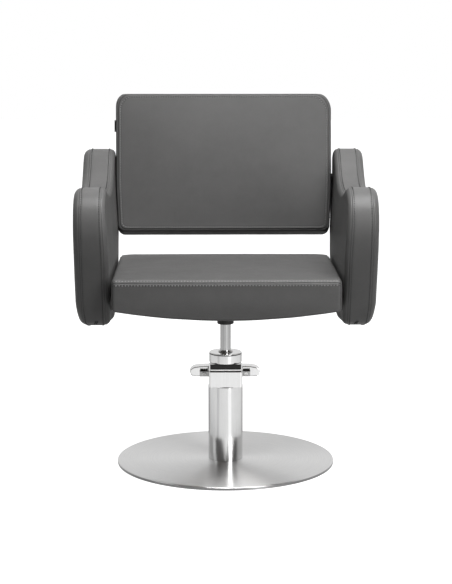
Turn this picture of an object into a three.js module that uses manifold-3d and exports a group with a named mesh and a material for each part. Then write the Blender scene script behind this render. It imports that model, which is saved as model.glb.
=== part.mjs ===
// Hydraulic styling chair: floor disc, chrome pump column with a foot pedal, and a padded seat, back
// and two tall padded arms that swivel and rise together.
// Millimetres, +Z up, origin at the centre of the disc on the floor, front of the chair towards -Y.
import * as THREE from "three";
import { mergeVertices } from "three/addons/utils/BufferGeometryUtils.js";
import Module from "manifold-3d";

const wasm = await Module();
wasm.setup();

// ---------- driving dimensions ----------
const GAP = 0.3; // clearance between pieces that rest on each other

const DISC_R = 250; // floor disc
const DISC_TOP = 8;
const COVER_SKIN = 1.0;
const COLUMN_R = 39.5; // chrome tube round the pump
const COLUMN_WALL = 1.7;
const COLUMN_TOP = 179;

const HEAD_HALF = 38.3; // square pump head
const HEAD_Z = [183, 220];
const CAP_PLATE_Z = [223, 226];
const BAND_Z = [226.3, 237];
const CAP_Z = [237.3, 260];
const CAP_R = 37.4;

const ROD_R = 12.1; // ram
const ROD_TOP = 370;
const ROD_END = 70;
const PISTON_Z = [82, 100];
const PISTON_R = 17.2;

const PIVOT = [49, 209]; // pedal pivot, Y and Z
const PLUNGER_Y = 68;
const TREAD_HALF = 83;

const COLLAR_Z = [326, 371.7];
const PLATE_Z = [372, 377];
const BAR_Z = [377.3, 383.3];
const BOARD_Z = [383.6, 395.6];
const BAR_Y = 88; // cross bars in front of and behind the column

const SEAT_HALF = 250; // seat cushion
const SEAT_Y = [-262, 205];
const SEAT_BOTTOM = 396;
const SEAT_FRONT_TOP = 474;
const SEAT_REAR_TOP = 459;
const SEAT_LIP = 379;

const ARM_X = [262, 330.5]; // inner and outer face of an arm
const CORE_X = [289, 305];
const CORE_INSET = 20;
const ARM_POINTS = 46;

const BACK_AT = [203, 506]; // lower front edge of the back, Y and Z
const BACK_LEAN = THREE.MathUtils.degToRad(10);
const BACK_HALF = 255.5;
const BACK_HEIGHT = 329;
const BACK_DEPTH = 80;
const BACK_BOLT_Y = 64;
const BACK_BOLT_Z = [40, 130];

// Side outline of an arm, Y and Z, from the rear top round the front and back along the bottom.
const ARM_OUTLINE = [
  [290, 692], [262, 700], [234, 698], [212, 688], [190, 673], [164, 656], [134, 642],
  [98, 633], [54, 629], [10, 630], [-35, 635], [-80, 644], [-120, 655], [-150, 660],
  [-178, 660], [-206, 650], [-228, 629], [-240, 600], [-243, 568], [-237, 530],
  [-222, 480], [-204, 430], [-187, 388], [-164, 359], [-130, 347], [-70, 345],
  [60, 345], [185, 346], [226, 356], [252, 384], [272, 440], [290, 530], [305, 610],
  [312, 655], [307, 680],
];

// ---------- materials ----------
const finish = (color, roughness, metalness) => ({ color, roughness, metalness });
const CHROME = finish(0xd9dcdf, 0.08, 1.0);
const BRUSHED = finish(0xb9bcbf, 0.35, 1.0);
const STEEL = finish(0x8f9499, 0.4, 1.0);
const BLACK_PAINT = finish(0x17181a, 0.5, 0.3);
const BLACK_PLASTIC = finish(0x121314, 0.35, 0.0);
const RUBBER = finish(0x1b1b1c, 0.85, 0.0);
const LEATHER = finish(0x48484a, 0.55, 0.0);
const PLY = finish(0xb48a5a, 0.7, 0.0);
const BRONZE = finish(0xa57c3c, 0.4, 0.9);

// ---------- helpers ----------
function named(name, geometry, look) {
  const material = new THREE.MeshStandardMaterial(look);
  const mesh = new THREE.Mesh(geometry, material);
  mesh.name = name;
  return mesh;
}

function toSolid(geometry) {
  const bare = geometry.index ? geometry.toNonIndexed() : geometry.clone();
  bare.deleteAttribute("normal");
  bare.deleteAttribute("uv");
  const merged = mergeVertices(bare, 1e-4);
  return new wasm.Manifold(
    new wasm.Mesh({
      numProp: 3,
      vertProperties: merged.attributes.position.array,
      triVerts: new Uint32Array(merged.index.array),
    }),
  );
}

function toGeometry(solid) {
  const mesh = solid.getMesh();
  const geometry = new THREE.BufferGeometry();
  geometry.setAttribute("position", new THREE.BufferAttribute(mesh.vertProperties, 3));
  geometry.setIndex(new THREE.BufferAttribute(mesh.triVerts, 1));
  const flat = geometry.toNonIndexed();
  flat.computeVertexNormals();
  return flat;
}

function cut(geometry, ...tools) {
  let solid = toSolid(geometry);
  for (const tool of tools) solid = solid.subtract(toSolid(tool));
  return toGeometry(solid);
}

function join(geometry, ...others) {
  let solid = toSolid(geometry);
  for (const other of others) solid = solid.add(toSolid(other));
  return toGeometry(solid);
}

function mirrored(geometry) {
  const flat = geometry.index ? geometry.toNonIndexed() : geometry.clone();
  flat.scale(-1, 1, 1);
  const p = flat.attributes.position;
  for (let i = 0; i < p.count; i += 3) {
    const b = [p.getX(i + 1), p.getY(i + 1), p.getZ(i + 1)];
    p.setXYZ(i + 1, p.getX(i + 2), p.getY(i + 2), p.getZ(i + 2));
    p.setXYZ(i + 2, ...b);
  }
  flat.computeVertexNormals();
  return flat;
}

// Solid of revolution about Z from radius and height pairs that close on themselves or on the axis.
function turned(profile, segments = 24) {
  const points = profile.map(([r, z]) => new THREE.Vector2(r, z));
  return new THREE.LatheGeometry(points, segments).rotateX(Math.PI / 2);
}

// Ring of revolution: a closed profile off the axis, walked anticlockwise (out, up, in).
function ring(rIn, rOut, z0, z1, segments = 24, chamfer = 0) {
  const c = chamfer;
  const profile = [[rIn, z0], [rOut - c, z0]];
  if (c > 0) profile.push([rOut, z0 + c], [rOut, z1 - c]);
  else profile.push([rOut, z1]);
  if (c > 0) profile.push([rOut - c, z1]);
  profile.push([rIn, z1], [rIn, z0]);
  return turned(profile, segments);
}

function rod(r, z0, z1, segments = 24) {
  return turned([[0, z0], [r, z0], [r, z1], [0, z1]], segments);
}

function prism(outline, z0, z1, bevel = 0, bevelSegments = 2, steps = 1) {
  const shape = new THREE.Shape(outline.map(([x, y]) => new THREE.Vector2(x, y)));
  const geometry = new THREE.ExtrudeGeometry(shape, {
    depth: z1 - z0 - 2 * bevel,
    steps,
    bevelEnabled: bevel > 0,
    bevelSize: bevel,
    bevelOffset: -bevel,
    bevelThickness: bevel,
    bevelSegments,
  });
  return geometry.translate(0, 0, z0 + bevel);
}

// Same, with the outline given as Y and Z and drawn out along X.
function prismX(outline, x0, x1, bevel = 0, bevelSegments = 2, steps = 1) {
  const turn = new THREE.Matrix4().makeBasis(
    new THREE.Vector3(0, 1, 0),
    new THREE.Vector3(0, 0, 1),
    new THREE.Vector3(1, 0, 0),
  );
  return prism(outline, x0, x1, bevel, bevelSegments, steps).applyMatrix4(turn);
}

// Same, with the outline given as X and Z and drawn out along Y.
function prismY(outline, y0, y1, bevel = 0, bevelSegments = 2) {
  return prism(outline, -y1, -y0, bevel, bevelSegments).rotateX(Math.PI / 2);
}

function block(x0, x1, y0, y1, z0, z1) {
  const geometry = new THREE.BoxGeometry(x1 - x0, y1 - y0, z1 - z0);
  return geometry.translate((x0 + x1) / 2, (y0 + y1) / 2, (z0 + z1) / 2);
}

function roundedRect(x0, x1, y0, y1, r, perCorner = 5) {
  const corners = [
    [x1 - r, y1 - r, 0],
    [x0 + r, y1 - r, 90],
    [x0 + r, y0 + r, 180],
    [x1 - r, y0 + r, 270],
  ];
  const outline = [];
  for (const [cx, cy, start] of corners) {
    for (let i = 0; i <= perCorner; i++) {
      const a = THREE.MathUtils.degToRad(start + (90 * i) / perCorner);
      outline.push([cx + r * Math.cos(a), cy + r * Math.sin(a)]);
    }
  }
  return outline;
}

function smoothLoop(points, count) {
  const knots = points.map(([x, y]) => new THREE.Vector3(x, y, 0));
  const curve = new THREE.CatmullRomCurve3(knots, true, "centripetal");
  return curve.getSpacedPoints(count).slice(0, count).map((p) => [p.x, p.y]);
}

// Outline moved inwards by d; the outline runs anticlockwise.
function inset(outline, d) {
  const n = outline.length;
  return outline.map(([x, y], i) => {
    const [px, py] = outline[(i + n - 1) % n];
    const [qx, qy] = outline[(i + 1) % n];
    const length = Math.hypot(qx - px, qy - py);
    return [x - (d * (qy - py)) / length, y + (d * (qx - px)) / length];
  });
}

// Round rod lying along X.
function rodX(r, x0, x1, y, z, segments = 16) {
  return rod(r, x0, x1, segments).rotateY(Math.PI / 2).translate(0, y, z);
}

// Button-head screw standing on Z = 0, shank below, with a socket in the head.
function screw(headR, headH, shankR, length) {
  const socketR = headR * 0.45;
  return turned(
    [
      [0, -length],
      [shankR, -length],
      [shankR, 0],
      [headR, 0],
      [headR * 0.75, headH],
      [socketR, headH],
      [socketR, headH * 0.45],
      [0, headH * 0.45],
    ],
    10,
  );
}

// Places a back-frame point (depth y, height z along the slab) in the chair's frame.
function backPoint(y, z) {
  const c = Math.cos(BACK_LEAN);
  const s = Math.sin(BACK_LEAN);
  return [BACK_AT[0] + y * c + z * s, BACK_AT[1] - y * s + z * c];
}

// ---------- base ----------
function floorPad() {
  return named("floor_pad", turned([[0, 0], [243, 0], [244, 1], [244, 2], [0, 2]], 56), RUBBER);
}

function basePlate() {
  const plate = turned([[0, 2.3], [246, 2.3], [246, 6.4], [0, 6.4]], 60);
  const holes = flangeAngles().map(([x, y]) => rod(2.8, 0, 10, 12).translate(x, y, 0));
  return named("base_plate", cut(plate, ...holes), BLACK_PAINT);
}

function baseCover() {
  const inside = DISC_TOP - COVER_SKIN;
  const geometry = turned(
    [
      [37.2, inside],
      [246.8, inside],
      [248.8, 5],
      [248.8, 1.2],
      [DISC_R, 1.2],
      [DISC_R, 6],
      [247, DISC_TOP],
      [37.2, DISC_TOP],
      [37.2, inside],
    ],
    64,
  );
  return named("base_cover", geometry, BRUSHED);
}

function flangeAngles() {
  return [90, 210, 330].map((degrees) => {
    const a = THREE.MathUtils.degToRad(degrees);
    return [32.9 * Math.cos(a), 32.9 * Math.sin(a)];
  });
}

function pumpReservoir() {
  const body = turned(
    [
      [0, 6.7],
      [36.8, 6.7],
      [36.8, 13],
      [29, 13],
      [29, HEAD_Z[0] + 3.4],
      [26.5, HEAD_Z[0] + 3.4],
      [26.5, 12],
      [0, 12],
    ],
    28,
  );
  const holes = flangeAngles().map(([x, y]) => rod(2.8, 0, 20, 12).translate(x, y, 0));
  return named("pump_reservoir", cut(body, ...holes), STEEL);
}

function flangeScrews() {
  return flangeAngles().map(([x, y], i) => {
    const mesh = named(`flange_screw_${i + 1}`, screw(3.4, 2.6, 2.4, 10.4), STEEL);
    mesh.position.set(x, y, 13 + GAP);
    return mesh;
  });
}

function innerCylinder() {
  return named("inner_cylinder", ring(17.6, 20, 12.3, HEAD_Z[0] + 3.4, 28), STEEL);
}

function columnCover() {
  const tube = ring(COLUMN_R - COLUMN_WALL, COLUMN_R, DISC_TOP + GAP, COLUMN_TOP, 56);
  return named("column_cover", tube, CHROME);
}

function pumpHead() {
  const [z0, z1] = HEAD_Z;
  const h = HEAD_HALF;
  const body = prism(roundedRect(-h, h, -h, h, 5, 3), z0, z1, 1.2, 2);
  const foot = rod(37.6, COLUMN_TOP + GAP, z0 + 1, 40);
  const step = prism(roundedRect(-36, 36, -36, 36, 5, 3), z1 - 1, CAP_PLATE_Z[0] - GAP);
  const neck = block(-15, 15, 36, 54, z0 + 4, 201);
  const wall = block(-15, 15, 40.2, 54, 176, 195);
  const tongue = block(-15, 15, 40.2, 82, 176, 186);
  const ears = [block(30, 37, 34, 57, 197, 217), block(-37, -30, 34, 57, 197, 217)];
  const shape = join(body, foot, step, neck, wall, tongue, ...ears);
  const bore = rod(13, 170, 230, 24);
  const counterbore = rod(29.8, 170, HEAD_Z[0] + 3.7, 28);
  const plungerBore = rod(4.75, 170, 190, 16).translate(0, PLUNGER_Y, 0);
  const pinBore = rodX(4.1, -50, 50, PIVOT[0], PIVOT[1], 20);
  return named("pump_head", cut(shape, bore, counterbore, plungerBore, pinBore), CHROME);
}

function capPlate() {
  const [z0, z1] = CAP_PLATE_Z;
  const plate = prism(roundedRect(-HEAD_HALF, HEAD_HALF, -HEAD_HALF, HEAD_HALF, 6, 4), z0, z1);
  return named("cap_plate", cut(plate, rod(13, z0 - 5, z1 + 5, 24)), CHROME);
}

function headBand() {
  const [z0, z1] = BAND_Z;
  const band = prism(roundedRect(-35.5, 35.5, -37, 35.5, 4, 3), z0, z1, 0.8, 1);
  return named("head_band", cut(band, rod(13, z0 - 5, z1 + 5, 24)), BLACK_PLASTIC);
}

function headCap() {
  const [z0, z1] = CAP_Z;
  const profile = [
    [16, z0],
    [CAP_R, z0],
    [CAP_R, z1 - 1.6],
    [CAP_R - 0.5, z1 - 0.5],
    [CAP_R - 1.6, z1],
    [16, z1],
    [16, z0],
  ];
  return named("head_cap", turned(profile, 48), CHROME);
}

function ramGland() {
  const [z0, z1] = CAP_Z;
  const profile = [
    [12.2, z0 + GAP],
    [15.7, z0 + GAP],
    [15.7, z1 + GAP],
    [17.5, z1 + GAP],
    [17.2, z1 + 1.6],
    [13.6, z1 + 3],
    [12.2, z1 + 3],
    [12.2, z0 + GAP],
  ];
  return named("ram_gland", turned(profile, 28), BLACK_PLASTIC);
}

function pumpBarrel() {
  const profile = [
    [0, 148],
    [9, 148],
    [11, 150.5],
    [11, 175.7],
    [4.75, 175.7],
    [4.75, 150],
    [0, 150],
  ];
  const mesh = named("pump_barrel", turned(profile, 16), STEEL);
  mesh.position.y = PLUNGER_Y;
  return mesh;
}

function pedalPin() {
  const profile = [
    [0, -41],
    [4.6, -41],
    [6, -40],
    [6, -37.4],
    [3.95, -37.4],
    [3.95, 37.4],
    [6, 37.4],
    [6, 40],
    [4.6, 41],
    [0, 41],
  ];
  const mesh = named("pedal_pin", turned(profile, 20), STEEL);
  mesh.rotation.y = Math.PI / 2;
  mesh.position.set(0, PIVOT[0], PIVOT[1]);
  return mesh;
}

// ---------- pedal ----------
function leverOutline() {
  const front = [];
  for (let i = 0; i <= 6; i++) {
    const a = THREE.MathUtils.degToRad(110 + (160 * i) / 6);
    front.push([PIVOT[0] + 9.4 * Math.cos(a), PIVOT[1] + 9.4 * Math.sin(a)]);
  }
  return [[118, 203], [60, 223.7], ...front, [60, 202], [118, 178]];
}

function pedalLever() {
  const channel = prismX(leverOutline(), -29, 29);
  const hollow = prismX(
    [[119, 198.2], [60, 219.2], [50, 214.6], [30, 212], [30, 160], [119, 160]],
    -24,
    24,
  );
  const flange = block(-60, 60, 115, 119.7, 174.5, 186.6);
  const pinBore = rodX(4.3, -50, 50, PIVOT[0], PIVOT[1], 20);
  const boltBores = [-49.5, 49.5].map((x) =>
    rod(3.3, -130, -110, 12).rotateX(Math.PI / 2).translate(x, 0, 181),
  );
  const shape = join(cut(channel, hollow), flange);
  return named("pedal_lever", cut(shape, pinBore, ...boltBores), CHROME);
}

// Foot bar: a rounded slab with a rib under it and a solid, rounded block at each end.
function footTread() {
  const t = TREAD_HALF;
  const outline = [
    [-t + 7, 174], [-57, 173.4], [-57, 191], [57, 191], [57, 173.4],
    [t - 7, 174], [t - 2, 177.5], [t, 184], [t - 2, 191], [t - 8, 195.8], [t - 21, 198.6],
    [0, 200], [-t + 21, 198.6], [-t + 8, 195.8], [-t + 2, 191], [-t, 184], [-t + 2, 177.5],
  ];
  const slab = prismY(outline, 120.2, 152, 3, 2);
  const rib = block(-58, 58, 120.4, 130, 175, 192);
  const bores = [-49.5, 49.5].map((x) =>
    rod(3.3, -128, -110, 12).rotateX(Math.PI / 2).translate(x, 0, 181),
  );
  return named("foot_tread", cut(join(slab, rib), ...bores), CHROME);
}

function treadBolts() {
  return [-49.5, 49.5].map((x, i) => {
    const mesh = named(`tread_bolt_${i + 1}`, screw(5.2, 3.6, 3, 12), CHROME);
    mesh.rotation.x = Math.PI / 2;
    mesh.position.set(x, 115 - GAP, 181);
    return mesh;
  });
}

// ---------- plunger ----------
function pumpPlunger() {
  const ballR = 6;
  const ballZ = 209.4;
  const profile = [[0, 160], [4.3, 160], [4.5, 161], [4.5, 202.3], [8, 202.3], [8, 204.4]];
  for (let i = 0; i <= 5; i++) {
    const a = THREE.MathUtils.degToRad(-50 + (140 * i) / 5);
    profile.push([Math.max(0, ballR * Math.cos(a)), ballZ + ballR * Math.sin(a)]);
  }
  profile[profile.length - 1][0] = 0;
  const mesh = named("pump_plunger", turned(profile, 16), STEEL);
  mesh.position.y = PLUNGER_Y;
  return mesh;
}

function returnSpring() {
  const turns = 4.5;
  const wire = 0.9;
  const meanR = 6.4;
  const z0 = 186.3 + wire;
  const z1 = 202 - wire;
  const points = [];
  const count = 44;
  for (let i = 0; i <= count; i++) {
    const a = (2 * Math.PI * turns * i) / count;
    const z = z0 + ((z1 - z0) * i) / count;
    points.push(new THREE.Vector3(meanR * Math.cos(a), PLUNGER_Y + meanR * Math.sin(a), z));
  }
  const section = new THREE.Shape();
  for (let i = 0; i < 5; i++) {
    const a = (2 * Math.PI * i) / 5;
    const x = wire * Math.cos(a);
    const y = wire * Math.sin(a);
    if (i === 0) section.moveTo(x, y);
    else section.lineTo(x, y);
  }
  const path = new THREE.CatmullRomCurve3(points);
  const geometry = new THREE.ExtrudeGeometry(section, {
    steps: count,
    bevelEnabled: false,
    extrudePath: path,
  });
  return named("return_spring", geometry, STEEL);
}

// ---------- ram ----------
function ramRod() {
  const profile = [
    [0, ROD_END],
    [7, ROD_END],
    [8, ROD_END + 1],
    [8, PISTON_Z[1] + GAP],
    [ROD_R, PISTON_Z[1] + GAP],
    [ROD_R, ROD_TOP - 2],
    [ROD_R - 2, ROD_TOP],
    [0, ROD_TOP],
  ];
  return named("ram_rod", turned(profile, 28), CHROME);
}

function ramPiston() {
  const [z0, z1] = PISTON_Z;
  const profile = [
    [8.3, z0],
    [PISTON_R, z0],
    [PISTON_R, z0 + 6],
    [14, z0 + 6],
    [14, z0 + 12],
    [PISTON_R, z0 + 12],
    [PISTON_R, z1],
    [8.3, z1],
    [8.3, z0],
  ];
  return named("ram_piston", turned(profile, 28), BRONZE);
}

function pistonSeal() {
  const z0 = PISTON_Z[0];
  return named("piston_seal", ring(14.3, 17.35, z0 + 6.3, z0 + 11.7, 28), RUBBER);
}

// ---------- under the seat ----------
function swivelCollar() {
  const [z0, z1] = COLLAR_Z;
  const profile = [
    [12.4, z0],
    [18.2, z0],
    [19, z0 + 0.8],
    [19, z0 + 26],
    [26, z0 + 38],
    [38, z1],
    [12.4, z1],
    [12.4, z0],
  ];
  return named("swivel_collar", turned(profile, 28), BLACK_PAINT);
}

const SEAT_BOLT_X = 70;

function seatBoltSpots() {
  const spots = [];
  for (const x of [-SEAT_BOLT_X, SEAT_BOLT_X]) {
    for (const y of [-BAR_Y, BAR_Y]) spots.push([x, y]);
  }
  return spots;
}

function seatBoltBores() {
  return seatBoltSpots().map(([x, y]) => rod(4.3, 360, 410, 12).translate(x, y, 0));
}

function seatMountPlate() {
  const [z0, z1] = PLATE_Z;
  const plate = prism(roundedRect(-92, 92, -106, 106, 12, 2), z0, z1);
  return named("seat_mount_plate", cut(plate, ...seatBoltBores()), BLACK_PAINT);
}

// Flat bar across the chair with its ends turned up against the arms.
function crossBar(name, y) {
  const [z0, z1] = BAR_Z;
  const end = 256.5;
  const outline = [
    [-end, z0], [end, z0], [end, 399], [end - 4, 399], [end - 4, z1],
    [-end + 4, z1], [-end + 4, 399], [-end, 399],
  ];
  const bar = prismY(outline, y - 18, y + 18);
  const bores = [...seatBoltBores(), rodX(4.3, -270, 270, y, ARM_BOLT_Z, 16)];
  return named(name, cut(bar, ...bores), BLACK_PAINT);
}

const ARM_BOLT_Z = 390;

function seatBoard() {
  const [z0, z1] = BOARD_Z;
  const board = prism(roundedRect(-200, 200, -205, 185, 20, 3), z0, z1);
  return named("seat_board", cut(board, ...seatBoltBores()), PLY);
}

function seatBolts() {
  return seatBoltSpots().map(([x, y], i) => {
    const mesh = named(`seat_bolt_${i + 1}`, screw(7.5, 4.5, 4, 22), STEEL);
    mesh.rotation.x = Math.PI;
    mesh.position.set(x, y, PLATE_Z[0] - GAP);
    return mesh;
  });
}

// Cushion with a sloping top, rounded edges and a front panel that hangs below its underside.
function seatCushion() {
  const [y0, y1] = SEAT_Y;
  const side = [
    [y0 + 4, SEAT_LIP + 3], [y0 + 26, SEAT_LIP + 1], [y0 + 30, SEAT_BOTTOM],
    [y1 - 8, SEAT_BOTTOM], [y1, SEAT_BOTTOM + 8], [y1, SEAT_REAR_TOP - 22],
    [y1 - 7, SEAT_REAR_TOP - 7], [y1 - 24, SEAT_REAR_TOP],
    [y0 + 30, SEAT_FRONT_TOP], [y0 + 9, SEAT_FRONT_TOP - 5], [y0, SEAT_FRONT_TOP - 18],
    [y0 - 1, SEAT_LIP + 30],
  ];
  const geometry = prismX(side, -SEAT_HALF, SEAT_HALF, 9, 3, 10);
  const p = geometry.attributes.position;
  for (let i = 0; i < p.count; i++) {
    const rise = 17 * (p.getX(i) / 240) ** 2;
    if (p.getZ(i) < SEAT_BOTTOM - 1) p.setZ(i, Math.min(p.getZ(i) + rise, SEAT_BOTTOM + 12));
  }
  return named("seat_cushion", geometry, LEATHER);
}

// ---------- arms ----------
function armBores() {
  const bores = [-BAR_Y, BAR_Y].map((y) => rodX(4.3, 240, 306, y, ARM_BOLT_Z, 16));
  for (const z of BACK_BOLT_Z) {
    const [py, pz] = backPoint(BACK_BOLT_Y, z);
    bores.push(rodX(4.3, 240, 306, py, pz, 16));
  }
  return bores;
}

function armPad() {
  const outline = smoothLoop(ARM_OUTLINE, ARM_POINTS);
  const pocket = prismX(inset(outline, CORE_INSET), CORE_X[0] - GAP, CORE_X[1] + GAP);
  return cut(prismX(outline, ARM_X[0], ARM_X[1], 15, 2), pocket, ...armBores());
}

function armCore() {
  const outline = inset(smoothLoop(ARM_OUTLINE, ARM_POINTS), CORE_INSET + GAP);
  return cut(prismX(outline, CORE_X[0], CORE_X[1]), ...armBores());
}

function armFittings(side) {
  const sign = side === "R" ? 1 : -1;
  const pad = armPad();
  const core = armCore();
  const meshes = [
    named(`arm_pad_${side}`, sign > 0 ? pad : mirrored(pad), LEATHER),
    named(`arm_core_${side}`, sign > 0 ? core : mirrored(core), PLY),
  ];
  [-BAR_Y, BAR_Y].forEach((y, i) => {
    const spacer = named(`arm_spacer_${side}${i + 1}`, ring(4.3, 9, 0, 4.9, 16), BLACK_PLASTIC);
    spacer.rotation.y = Math.PI / 2;
    spacer.position.set(sign > 0 ? 256.8 : -261.7, y, ARM_BOLT_Z);
    const bolt = named(`arm_bolt_${side}${i + 1}`, screw(6, 4, 3.9, 48), STEEL);
    bolt.rotation.y = (-sign * Math.PI) / 2;
    bolt.position.set(sign * (252.5 - GAP), y, ARM_BOLT_Z);
    meshes.push(spacer, bolt);
  });
  return meshes;
}

// ---------- back ----------
function backBores(x0, x1) {
  return BACK_BOLT_Z.map((z) => rodX(4.3, x0, x1, BACK_BOLT_Y, z, 16));
}

function backCushion() {
  const outline = roundedRect(-BACK_HALF, BACK_HALF, 0, BACK_HEIGHT, 18, 4);
  const slab = prismY(outline, 0, BACK_DEPTH, 8, 3);
  const tray = block(-242.5, 242.5, 40, 90, 14, BACK_HEIGHT - 14);
  const bores = [...backBores(230, 270), ...backBores(-270, -230)];
  return named("back_cushion", cut(slab, tray, ...bores), LEATHER);
}

function backBoard() {
  return named("back_board", block(-242, 242, 40.3, 52.3, 14.5, BACK_HEIGHT - 14.5), PLY);
}

function backBracket(side) {
  const sign = side === "R" ? 1 : -1;
  const [low, high] = [BACK_BOLT_Z[0] - 20, BACK_BOLT_Z[1] + 20];
  const outline = [[200, 52.6], [242, 52.6], [242, 72], [238, 72], [238, 56.6], [200, 56.6]];
  const angle = cut(prism(outline, low, high), ...backBores(230, 250));
  return named(`back_bracket_${side}`, sign > 0 ? angle : mirrored(angle), BLACK_PAINT);
}

function backSpacer(side) {
  const sign = side === "R" ? 1 : -1;
  const outline = roundedRect(BACK_BOLT_Y - 9, BACK_BOLT_Y + 9, 25, 145, 8, 3);
  const strip = cut(prismX(outline, 256.8, 261.7), ...backBores(250, 270));
  return named(`back_spacer_${side}`, sign > 0 ? strip : mirrored(strip), BLACK_PLASTIC);
}

function backRearPanel() {
  const outline = roundedRect(-242, 242, 14.5, BACK_HEIGHT - 14.5, 4, 2);
  return named("back_rear_panel", prismY(outline, 74, 84, 2.5, 2), LEATHER);
}

function backBolts() {
  const bolts = [];
  for (const side of ["L", "R"]) {
    const sign = side === "R" ? 1 : -1;
    BACK_BOLT_Z.forEach((z, i) => {
      const bolt = named(`back_bolt_${side}${i + 1}`, screw(6.5, 4.5, 3.9, 63), STEEL);
      bolt.rotation.y = (-sign * Math.PI) / 2;
      bolt.position.set(sign * (238 - GAP), BACK_BOLT_Y, z);
      bolts.push(bolt);
    });
  }
  return bolts;
}

function sideTag() {
  const tag = block(-260.6, -256.8, 26, 27.4, 243, 271);
  return named("side_tag", tag, BLACK_PLASTIC);
}

function backGroup() {
  const group = new THREE.Group();
  group.add(backCushion(), backBoard(), backRearPanel(), sideTag(), ...backBolts());
  for (const side of ["L", "R"]) group.add(backBracket(side), backSpacer(side));
  group.position.set(0, BACK_AT[0], BACK_AT[1]);
  group.rotation.x = -BACK_LEAN;
  return group;
}

// ---------- chair ----------
const chair = new THREE.Group();
chair.name = "styling_chair";
chair.add(floorPad(), basePlate(), baseCover(), pumpReservoir(), ...flangeScrews());
chair.add(innerCylinder(), columnCover(), pumpHead(), capPlate(), headBand(), headCap());
chair.add(ramGland(), pumpBarrel(), pedalPin());
chair.add(pedalLever(), footTread(), ...treadBolts());
chair.add(pumpPlunger(), returnSpring());
chair.add(ramRod(), ramPiston(), pistonSeal());
chair.add(swivelCollar(), seatMountPlate(), crossBar("cross_bar_front", -BAR_Y));
chair.add(crossBar("cross_bar_rear", BAR_Y), seatBoard(), ...seatBolts(), seatCushion());
chair.add(...armFittings("L"), ...armFittings("R"), backGroup());

export default chair;
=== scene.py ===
"""Looks of a hydraulic styling chair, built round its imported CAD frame.

Shapes are worked out in millimetres and put into Blender in metres, in the frame's own axes:
+Z up, origin at the centre of the floor disc, the front of the chair towards -Y.
"""

import math

import bmesh
import bpy
import numpy as np
from mathutils import Matrix, Vector, noise
from mathutils.geometry import delaunay_2d_cdt
from mathutils.kdtree import KDTree


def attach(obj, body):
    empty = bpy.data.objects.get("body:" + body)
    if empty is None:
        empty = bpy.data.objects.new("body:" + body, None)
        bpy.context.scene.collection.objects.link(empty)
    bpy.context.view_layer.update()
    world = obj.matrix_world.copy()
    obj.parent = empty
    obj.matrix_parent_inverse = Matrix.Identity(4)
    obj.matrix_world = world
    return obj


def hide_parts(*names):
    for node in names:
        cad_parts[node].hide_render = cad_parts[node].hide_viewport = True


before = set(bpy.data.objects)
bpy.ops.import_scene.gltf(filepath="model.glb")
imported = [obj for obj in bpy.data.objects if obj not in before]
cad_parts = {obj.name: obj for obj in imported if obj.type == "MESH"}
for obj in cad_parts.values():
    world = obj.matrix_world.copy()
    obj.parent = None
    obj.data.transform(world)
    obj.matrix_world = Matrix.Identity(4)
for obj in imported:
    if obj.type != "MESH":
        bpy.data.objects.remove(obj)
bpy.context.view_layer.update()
scene = bpy.context.scene
MM = 0.001

# ---------- camera ----------
CAMERA_DISTANCE = 4.2
CAMERA_HEIGHT = 1.163
CAMERA_AZIMUTH = math.radians(-0.65)
CAMERA_PITCH = math.radians(10.308)
CAMERA_LENS = 114.94
CAMERA_SIDE = 0.0011


def add_camera():
    data = bpy.data.cameras.new("camera")
    data.sensor_width = 36.0
    data.lens = CAMERA_LENS
    camera = bpy.data.objects.new("camera", data)
    a = CAMERA_AZIMUTH
    camera.location = (
        math.sin(a) * CAMERA_DISTANCE + CAMERA_SIDE,
        -math.cos(a) * CAMERA_DISTANCE,
        CAMERA_HEIGHT,
    )
    camera.rotation_euler = (math.pi / 2 - CAMERA_PITCH, 0, a)
    scene.collection.objects.link(camera)
    scene.camera = camera


add_camera()


# ---------- material helpers ----------
class Nodes:
    """A node tree with short ways to add nodes and link them."""

    def __init__(self, tree):
        self.tree = tree
        tree.nodes.clear()

    def add(self, kind, inputs=None, **settings):
        node = self.tree.nodes.new(kind)
        for key, value in settings.items():
            setattr(node, key, value)
        for key, value in (inputs or {}).items():
            if isinstance(value, bpy.types.NodeSocket):
                self.tree.links.new(value, node.inputs[key])
            else:
                node.inputs[key].default_value = value
        return node

    def math(self, operation, a, b=0.0, clamp=False):
        node = self.add("ShaderNodeMath", {0: a, 1: b}, operation=operation, use_clamp=clamp)
        return node.outputs[0]

    def span(self, value, low, high, out_low, out_high):
        node = self.add(
            "ShaderNodeMapRange",
            {"Value": value, "From Min": low, "From Max": high, "To Min": out_low, "To Max": out_high},
        )
        return node.outputs[0]

    def mix(self, factor, a, b):
        node = self.add("ShaderNodeMix", data_type="RGBA")
        for socket, value in ((0, factor), (6, a), (7, b)):
            if isinstance(value, bpy.types.NodeSocket):
                self.tree.links.new(value, node.inputs[socket])
            else:
                node.inputs[socket].default_value = value
        return node.outputs[2]

    def noise(self, where, scale, detail=3.0, roughness=0.55):
        inputs = {"Vector": where, "Scale": scale, "Detail": detail, "Roughness": roughness}
        return self.add("ShaderNodeTexNoise", inputs).outputs[0]

    def where(self):
        return self.add("ShaderNodeTexCoord").outputs["Object"]

    def bump(self, height, strength, distance, normal=None):
        inputs = {"Height": height, "Strength": strength, "Distance": distance}
        if normal is not None:
            inputs["Normal"] = normal
        return self.add("ShaderNodeBump", inputs).outputs[0]

    def surface(self, inputs):
        shader = self.add("ShaderNodeBsdfPrincipled", inputs)
        self.add("ShaderNodeOutputMaterial", {"Surface": shader.outputs[0]})
        return shader


def material(name):
    made = bpy.data.materials.new(name)
    made.use_nodes = True
    return made, Nodes(made.node_tree)


def grey(value, warm=0.0):
    return (value * (1 + warm), value, value * (1 - warm), 1.0)


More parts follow.
